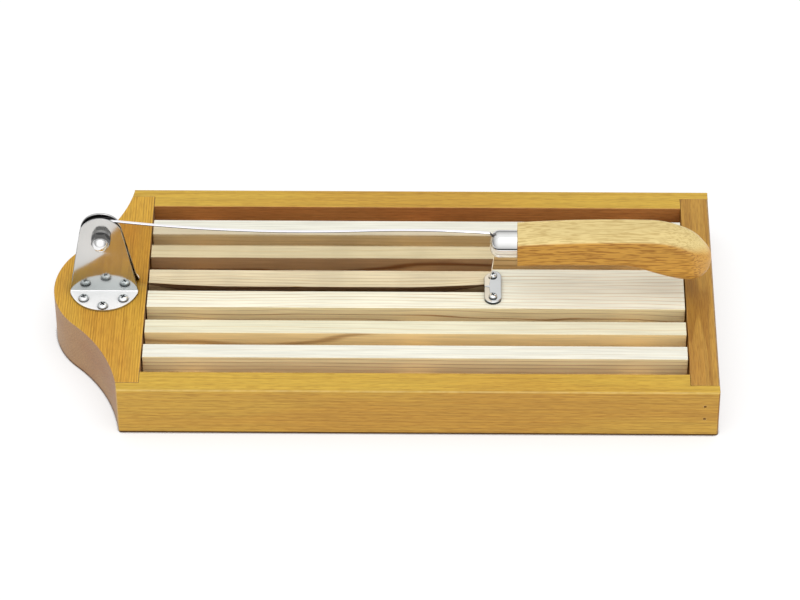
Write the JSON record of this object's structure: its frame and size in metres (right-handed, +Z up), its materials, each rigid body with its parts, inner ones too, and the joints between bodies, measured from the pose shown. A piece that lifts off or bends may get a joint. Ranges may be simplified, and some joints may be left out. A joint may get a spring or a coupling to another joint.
{
  "type": "bread guillotine",
  "caption": "Slatted wooden crumb tray with a tall steel blade hinged between bracket plates, a wooden handle and a stop plate, for slicing bread by hand.",
  "frame": {"origin": "middle of the footprint on the surface the tray stands on", "axes": "+X along the tray from the pivot to the handle, +Z up"},
  "size_m": [0.4476, 0.205, 0.1018],
  "materials": {
    "frame_wood": "honey-stained softwood, satin varnish",
    "slat_wood": "bare pale pine, planed",
    "handle_wood": "flecked golden hardwood, oiled",
    "panel_wood": "thin plywood, unfinished",
    "blade_steel": "mirror-polished stainless steel",
    "bright_steel": "bright nickel-plated steel",
    "screw_steel": "zinc-plated steel"
  },
  "bodies": {
    "tray": {"front_rail": "frame_wood", "rear_rail": "frame_wood", "left_end_board": "frame_wood", "right_end_board": "frame_wood", "corner_nails": "screw_steel", "bottom_panel": "panel_wood", "panel_nails": "screw_steel", "left_bearer": "slat_wood", "middle_bearer": "slat_wood", "right_bearer": "slat_wood", "cutting_slat": "slat_wood", "front_inner_slat": "slat_wood", "front_outer_slat": "slat_wood", "rear_inner_slat": "slat_wood", "rear_outer_slat": "slat_wood", "slat_screws": "screw_steel", "stop_plate": "bright_steel", "stop_plate_screws": "screw_steel", "front_bracket": "bright_steel", "rear_bracket": "bright_steel", "front_bracket_screws": "screw_steel", "rear_bracket_screws": "screw_steel", "pivot_bolt": "bright_steel", "pivot_washer": "bright_steel", "cap_nut": "bright_steel"},
    "knife": {"blade": "blade_steel", "ferrule": "bright_steel", "handle": "handle_wood"}
  },
  "joints": [
    {"name": "blade_swing", "type": "hinge", "parent": "tray", "child": "knife", "pos_m": [-0.1892, 0, 0.0846], "axis": [0, -1, 0], "range_deg": [0, 90]}
  ]
}
